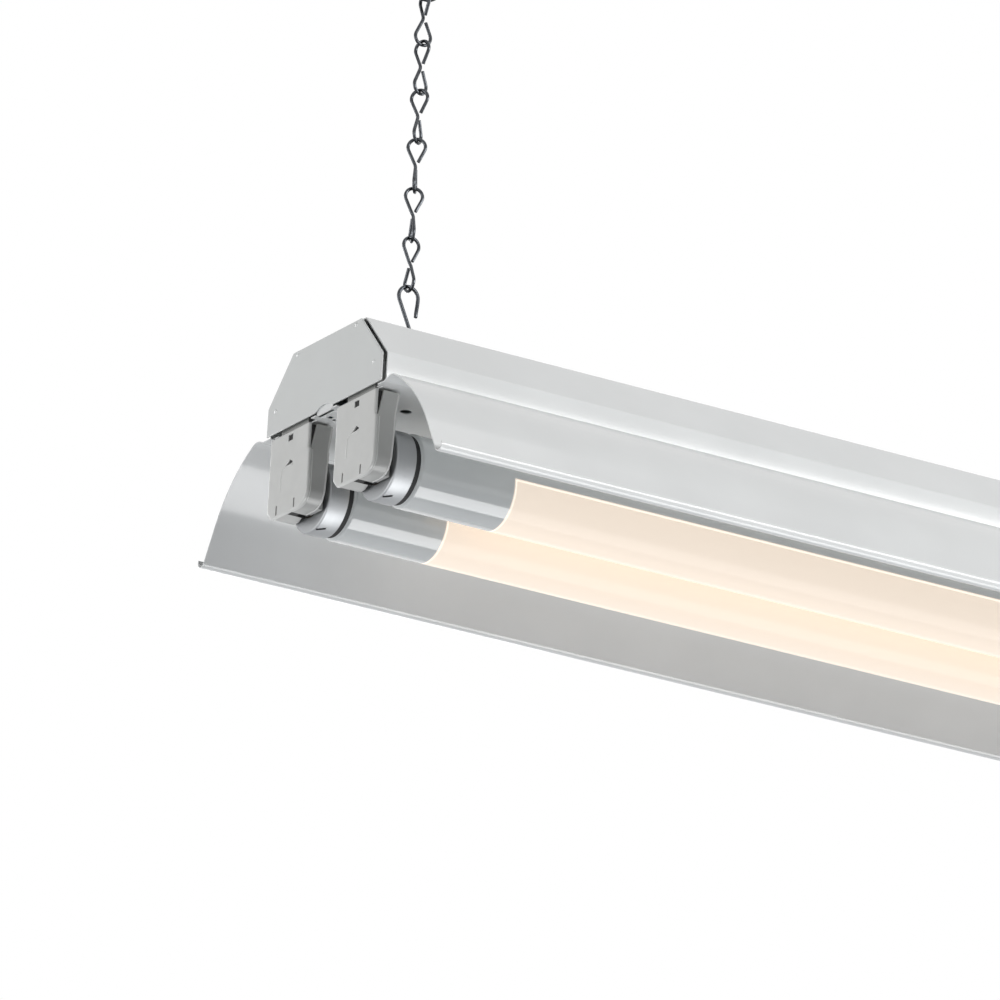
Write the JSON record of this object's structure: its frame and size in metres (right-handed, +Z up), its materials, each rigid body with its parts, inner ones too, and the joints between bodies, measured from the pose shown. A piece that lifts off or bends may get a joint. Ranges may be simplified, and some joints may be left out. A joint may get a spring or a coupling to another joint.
{
  "type": "hanging shop light",
  "caption": "Long fluorescent shop light on chains: folded steel housing, curved hemmed reflector, straight lamps in rotary lampholders.",
  "frame": {"origin": "on the ceiling plane, midway between the two ceiling hook screws", "axes": "+X along the lamps towards the right end, +Y across towards the rear, +Z up"},
  "size_m": [1.2288, 0.237, 0.3315],
  "materials": {
    "zinc_wire": "bright zinc plated steel wire",
    "white_enamel": "white baked enamel on steel sheet, semi-gloss",
    "grey_enamel": "pale grey baked enamel on steel sheet, satin",
    "holder_plastic": "moulded pale grey urea plastic, matt",
    "rotor_plastic": "moulded white plastic",
    "lamp_glass": "glass tube coated white with phosphor on the inside",
    "lamp_metal": "drawn aluminium lamp cap",
    "insulator": "pressed insulating disc",
    "brass": "plain brass",
    "cathode_metal": "glass stem with nickel wires and tungsten coil",
    "screw_steel": "zinc plated steel",
    "ballast_steel": "black enamelled steel",
    "board": "glass-epoxy circuit board with parts",
    "blue_lead": "solid wire in blue plastic",
    "black_lead": "solid wire in black plastic",
    "connector": "moulded orange plastic",
    "ground_green": "green passivated steel screw",
    "bushing": "moulded black nylon"
  },
  "bodies": {
    "ceiling": {"left_ceiling_hook": "zinc_wire", "right_ceiling_hook": "zinc_wire"},
    "top_links": {"left_top_link": "zinc_wire", "right_top_link": "zinc_wire"},
    "left_chain": {"left_chain_links": "zinc_wire"},
    "right_chain": {"right_chain_links": "zinc_wire"},
    "left_hook": {"left_s_hook": "zinc_wire"},
    "right_hook": {"right_s_hook": "zinc_wire"},
    "fixture": {"housing": "white_enamel", "left_end_plate": "grey_enamel", "right_end_plate": "grey_enamel", "reflector": "white_enamel", "reflector_screws": "screw_steel", "left_front_holder_face": "holder_plastic", "left_rear_holder_face": "holder_plastic", "right_front_holder_face": "holder_plastic", "right_rear_holder_face": "holder_plastic", "left_front_holder_body": "holder_plastic", "left_rear_holder_body": "holder_plastic", "right_front_holder_body": "holder_plastic", "right_rear_holder_body": "holder_plastic", "left_front_contacts": "brass", "left_rear_contacts": "brass", "right_front_contacts": "brass", "right_rear_contacts": "brass", "ballast_base": "ballast_steel", "ballast_case": "ballast_steel", "ballast_board": "board", "ballast_bolts": "screw_steel", "ballast_nuts": "screw_steel", "left_lamp_leads": "blue_lead", "right_lamp_leads": "blue_lead", "supply_leads": "black_lead", "wire_connectors": "connector", "ground_screw": "ground_green", "inlet_bushing": "bushing"},
    "front_lamp": {"front_lamp_glass": "lamp_glass", "front_lamp_left_cap": "lamp_metal", "front_lamp_right_cap": "lamp_metal", "front_lamp_left_insulator": "insulator", "front_lamp_right_insulator": "insulator", "front_lamp_left_pins": "brass", "front_lamp_right_pins": "brass", "front_lamp_left_cathode": "cathode_metal", "front_lamp_right_cathode": "cathode_metal"},
    "rear_lamp": {"rear_lamp_glass": "lamp_glass", "rear_lamp_left_cap": "lamp_metal", "rear_lamp_right_cap": "lamp_metal", "rear_lamp_left_insulator": "insulator", "rear_lamp_right_insulator": "insulator", "rear_lamp_left_pins": "brass", "rear_lamp_right_pins": "brass", "rear_lamp_left_cathode": "cathode_metal", "rear_lamp_right_cathode": "cathode_metal"},
    "left_front_rotor_body": {"left_front_rotor": "rotor_plastic"},
    "left_rear_rotor_body": {"left_rear_rotor": "rotor_plastic"},
    "right_front_rotor_body": {"right_front_rotor": "rotor_plastic"},
    "right_rear_rotor_body": {"right_rear_rotor": "rotor_plastic"}
  },
  "joints": [
    {"name": "sideways_swing", "type": "hinge", "parent": "ceiling", "child": "top_links", "pos_m": [0, 0, -0.022], "axis": [1, 0, 0], "range_deg": [-15, 15]},
    {"name": "lengthwise_swing", "type": "hinge", "parent": "top_links", "child": "left_chain", "pos_m": [-0.569, 0, -0.04545], "axis": [0, 1, 0], "range_deg": [-15, 15]},
    {"name": "right_chain_swing", "type": "hinge", "parent": "top_links", "child": "right_chain", "pos_m": [0.569, 0, -0.04545], "axis": [0, 1, 0], "range_deg": [-15, 15]},
    {"name": "left_hook_swing", "type": "hinge", "parent": "left_chain", "child": "left_hook", "pos_m": [-0.569, 0, -0.18035], "axis": [0, 1, 0], "range_deg": [-15, 15]},
    {"name": "right_hook_swing", "type": "hinge", "parent": "right_chain", "child": "right_hook", "pos_m": [0.569, 0, -0.18035], "axis": [0, 1, 0], "range_deg": [-15, 15]},
    {"name": "fixture_roll", "type": "hinge", "parent": "left_hook", "child": "fixture", "pos_m": [-0.569, 0, -0.21615], "axis": [1, 0, 0], "range_deg": [-12, 12]},
    {"name": "front_lamp_turn", "type": "hinge", "parent": "fixture", "child": "front_lamp", "pos_m": [0, -0.0322, -0.28845], "axis": [1, 0, 0], "range_deg": [0, 90]},
    {"name": "rear_lamp_turn", "type": "hinge", "parent": "fixture", "child": "rear_lamp", "pos_m": [0, 0.0322, -0.28845], "axis": [1, 0, 0], "range_deg": [0, 90]},
    {"name": "left_front_rotor_turn", "type": "hinge", "parent": "fixture", "child": "left_front_rotor_body", "pos_m": [-0.6024, -0.0322, -0.28845], "axis": [1, 0, 0], "range_deg": [0, 90]},
    {"name": "left_rear_rotor_turn", "type": "hinge", "parent": "fixture", "child": "left_rear_rotor_body", "pos_m": [-0.6024, 0.0322, -0.28845], "axis": [1, 0, 0], "range_deg": [0, 90]},
    {"name": "right_front_rotor_turn", "type": "hinge", "parent": "fixture", "child": "right_front_rotor_body", "pos_m": [0.6024, -0.0322, -0.28845], "axis": [1, 0, 0], "range_deg": [0, 90]},
    {"name": "right_rear_rotor_turn", "type": "hinge", "parent": "fixture", "child": "right_rear_rotor_body", "pos_m": [0.6024, 0.0322, -0.28845], "axis": [1, 0, 0], "range_deg": [0, 90]}
  ],
  "couplings": [
    {"joint": "right_chain_swing", "follows": "lengthwise_swing", "ratio": 1},
    {"joint": "left_hook_swing", "follows": "lengthwise_swing", "ratio": -1},
    {"joint": "right_hook_swing", "follows": "lengthwise_swing", "ratio": -1},
    {"joint": "left_front_rotor_turn", "follows": "front_lamp_turn", "ratio": 1},
    {"joint": "left_rear_rotor_turn", "follows": "rear_lamp_turn", "ratio": 1},
    {"joint": "right_front_rotor_turn", "follows": "front_lamp_turn", "ratio": 1},
    {"joint": "right_rear_rotor_turn", "follows": "rear_lamp_turn", "ratio": 1}
  ]
}
